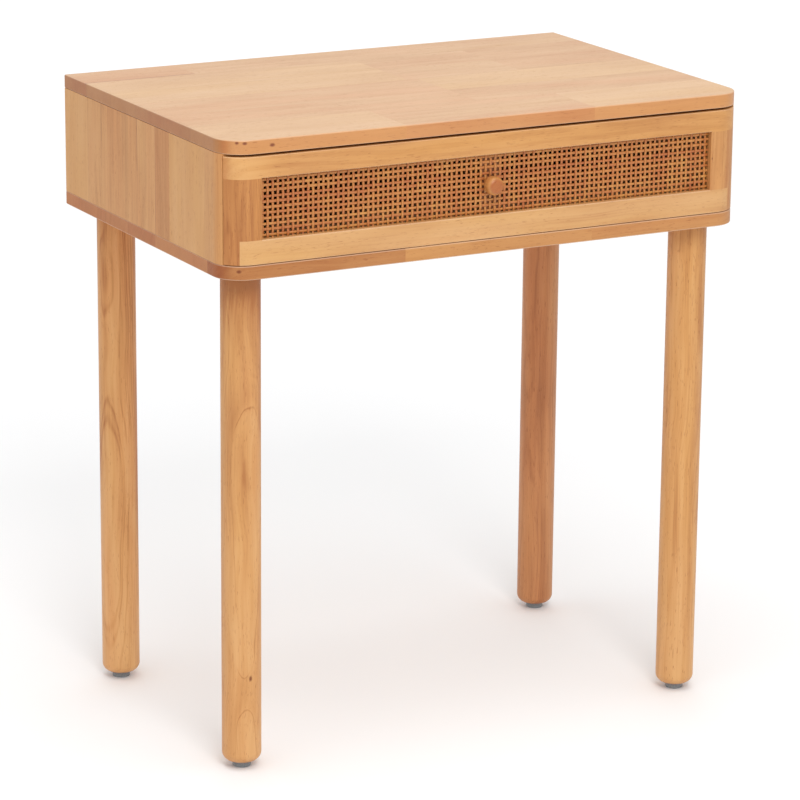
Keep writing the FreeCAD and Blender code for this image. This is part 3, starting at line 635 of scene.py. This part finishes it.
def dress_hardware():
    """Screws, bolts, inserts and nails in zinc-plated steel; glides in grey plastic."""
    steel = zinc_steel()
    for node in ("runner_screws", "drawer_stop_screws", "hanger_bolts", "leg_inserts",
                 "glide_nails", "drawer_back_screws", "drawer_bottom_screws", "knob_screw"):
        wear(node, steel)
    plastic = grey_plastic()
    for end in ("front", "back"):
        for side in ("left", "right"):
            wear(f"{end}_{side}_glide", plastic)


# ---------------------------------------------------------------- woven cane
CANE_PITCH = 4.65 * MM
STRAND_WIDE = 2.38 * MM
STRAND_THICK = 0.55 * MM
WEAVE_RISE = 0.33 * MM
STEPS_A_CROSSING = 4
# How far a strand strays from its course, and how wide it is against the usual one.
STRAND_DRIFT = 0.09 * MM
STRAND_WIDTHS = (0.92, 1.08)
# A strand's section as shares of its width and thickness: a crowned face and a wedged back.
SECTION = [(-0.5, -0.1), (-0.34, 0.4), (0.0, 0.5), (0.34, 0.4), (0.5, -0.1), (0.0, -0.5)]


def cane_material(name, across_axis):
    """Split cane: glossy skin whose colour changes from strand to strand and along each."""
    material, tree, shader = new_material(name)
    place = object_place(tree)
    cross = on_axis(parts_of(tree, place), across_axis)
    strand = maths(tree, "FLOOR", maths(tree, "DIVIDE", cross, CANE_PITCH))
    pick = tree.nodes.new("ShaderNodeTexWhiteNoise")
    pick.noise_dimensions = "1D"
    plug(tree, pick.inputs["W"], strand)
    drift = noise(tree, place, scale=60.0)
    flecks = noise(tree, place, scale=260.0, detail=1.0)
    tone = maths(tree, "MULTIPLY_ADD", pick.outputs["Value"], 0.3,
                 maths(tree, "MULTIPLY", maths(tree, "ADD", drift, flecks), 0.4))
    base = ramp(tree, tone, [(0.1, colour(210, 156, 80)), (0.45, colour(192, 124, 62)),
                             (0.75, colour(178, 100, 50)), (1.0, colour(146, 76, 36))])
    fine = (900.0, 900.0, 60.0) if across_axis == "X" else (60.0, 900.0, 900.0)
    streaks = noise(tree, stretched(tree, place, fine))
    base = mixed(tree, spread(tree, streaks, 0.55, 0.8, 0.0, 0.35), base,
                 colour(150, 92, 52), "MULTIPLY")
    tree.links.new(base, shader.inputs["Base Color"])
    tree.links.new(spread(tree, streaks, 0.2, 0.8, 0.3, 0.48), shader.inputs["Roughness"])
    raise_bumps(tree, shader, streaks, 0.04 * MM)
    return material


def strand_points(centre, run, step, offset, width, crossings, turn):
    """The sections along one strand, which goes over and under the ones that cross it."""
    points = []
    intervals = crossings * STEPS_A_CROSSING
    for number in range(intervals + 1):
        share = number / intervals
        along = (share - 0.5) * crossings * CANE_PITCH
        depth = WEAVE_RISE * math.cos(math.pi * (share * crossings - 0.5 + turn))
        for across, out in SECTION:
            spot = [0.0, centre.y + depth - out * STRAND_THICK, 0.0]
            spot[run] = centre[run] + along
            spot[step] = centre[step] + offset + across * width
            points.append(spot)
    return points


def strand_faces(first, count):
    """The skin and the two ends of one strand: count points, from the first one on."""
    size = len(SECTION)
    faces = []
    for base in range(first, first + count - size, size):
        for corner in range(size):
            after = (corner + 1) % size
            faces.append((base + corner, base + after, base + size + after,
                          base + size + corner))
    faces.append(tuple(range(first, first + size)))
    faces.append(tuple(reversed(range(first + count - size, first + count))))
    return faces


def strands(name, level, material):
    """All the strands of one direction as one woven piece: level strands run along X and
    upright ones along Z."""
    low, high = (Vector(corner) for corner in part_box("cane_panel"))
    centre = (low + high) / 2
    run, step = (0, 2) if level else (2, 0)
    count = round((high[step] - low[step]) / CANE_PITCH)
    crossings = round((high[run] - low[run]) / CANE_PITCH)
    draw = random.Random(17 if level else 23)
    points, faces = [], []
    for index in range(count):
        offset = (index - (count - 1) / 2) * CANE_PITCH + draw.gauss(0, STRAND_DRIFT)
        width = STRAND_WIDE * draw.uniform(*STRAND_WIDTHS)
        turn = index + 1 if level else index
        strand = strand_points(centre, run, step, offset, width, crossings, turn)
        faces += strand_faces(len(points), len(strand))
        points += strand
    mesh = bpy.data.meshes.new(name)
    mesh.from_pydata(points, [], faces)
    mesh.validate()
    for face in mesh.polygons:
        face.use_smooth = len(face.vertices) == 4
    piece = bpy.data.objects.new(name, mesh)
    bpy.context.collection.objects.link(piece)
    fix_normals(piece)
    piece.data.materials.append(material)
    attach(piece, "drawer")
    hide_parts("cane_panel")


def fix_normals(piece):
    """Turn every face of a closed piece outwards."""
    shape = bmesh.new()
    shape.from_mesh(piece.data)
    bmesh.ops.recalc_face_normals(shape, faces=shape.faces)
    shape.to_mesh(piece.data)
    shape.free()


def weave_cane():
    """The woven panel in the drawer's front."""
    strands("cane_level_strands", True, cane_material("cane_level", "Z"))
    strands("cane_upright_strands", False, cane_material("cane_upright", "X"))


# ---------------------------------------------------------------- studio
CAMERA_PLACE = Vector((-1.52897, -2.84403, 1.17146))
CAMERA_AZIMUTH = 28.2477
CAMERA_ELEVATION = 15.6402
CAMERA_ROLL = 0.5206
CAMERA_LENS = 168.37
SURROUND_STRENGTH = 0.74
# Name, place, target, side of the square and power of each light.
LIGHTS = [
    ("overhead", (-0.2, -0.3, 2.6), (0, 0, 0.4), 1.6, 16),
    ("key", (-0.6, -2.3, 2.3), (0, 0, 0.3), 1.1, 33),
    ("backdrop", (2.0, 4.0, 2.6), (2.0, 4.0, 0), 4.0, 48),
]
FLOOR_REACH = 15.0


def set_camera():
    """The camera looks over the table's front left corner, slightly from above."""
    azimuth, elevation, roll = (math.radians(angle) for angle in
                                (CAMERA_AZIMUTH, CAMERA_ELEVATION, CAMERA_ROLL))
    forward = Vector((math.sin(azimuth) * math.cos(elevation),
                      math.cos(azimuth) * math.cos(elevation), -math.sin(elevation)))
    right = Vector((math.cos(azimuth), -math.sin(azimuth), 0))
    upward = right.cross(forward)
    rolled_right = right * math.cos(roll) + upward * math.sin(roll)
    rolled_up = upward * math.cos(roll) - right * math.sin(roll)
    turn = Matrix((rolled_right, rolled_up, -forward)).transposed()
    data = bpy.data.cameras.new("camera")
    data.lens = CAMERA_LENS
    data.clip_end = 50
    camera = bpy.data.objects.new("camera", data)
    camera.matrix_world = Matrix.Translation(CAMERA_PLACE) @ turn.to_4x4()
    bpy.context.collection.objects.link(camera)
    bpy.context.scene.camera = camera


def area_light(name, place, target, size, power):
    """A square soft light that faces a point."""
    data = bpy.data.lights.new(name, "AREA")
    data.shape = "SQUARE"
    data.size = size
    data.energy = power
    light = bpy.data.objects.new(name, data)
    light.location = place
    light.rotation_euler = (Vector(target) - Vector(place)).to_track_quat("-Z", "Y").to_euler()
    bpy.context.collection.objects.link(light)


def light_studio():
    """A white surround, a soft light overhead, a stronger one in front, and one above the
    floor behind."""
    world = bpy.data.worlds.new("studio")
    bpy.context.scene.world = world
    world.use_nodes = True
    background = world.node_tree.nodes["Background"]
    background.inputs["Color"].default_value = (1, 1, 1, 1)
    background.inputs["Strength"].default_value = SURROUND_STRENGTH
    for light in LIGHTS:
        area_light(*light)


def lay_floor():
    """A wide pale floor with a very faint unevenness."""
    corners = [(FLOOR_REACH * x, FLOOR_REACH * y, 0)
               for x, y in ((-1, -1), (1, -1), (1, 1), (-1, 1))]
    mesh = bpy.data.meshes.new("floor")
    mesh.from_pydata(corners, [], [(0, 1, 2, 3)])
    floor = bpy.data.objects.new("floor", mesh)
    bpy.context.collection.objects.link(floor)
    material, tree, shader = new_material("studio_floor")
    cloud = noise(tree, object_place(tree), scale=0.7)
    base = ramp(tree, cloud, [(0.3, (0.93, 0.935, 0.94, 1)), (0.7, (0.95, 0.955, 0.96, 1))])
    tree.links.new(base, shader.inputs["Base Color"])
    shader.inputs["Roughness"].default_value = 0.9
    shader.inputs["Specular IOR Level"].default_value = 0.1
    floor.data.materials.append(material)


set_camera()
light_studio()
lay_floor()
bpy.context.scene.view_settings.view_transform = "Standard"
dress_boards()
dress_legs()
dress_front()
dress_drawer()
dress_hardware()
weave_cane()
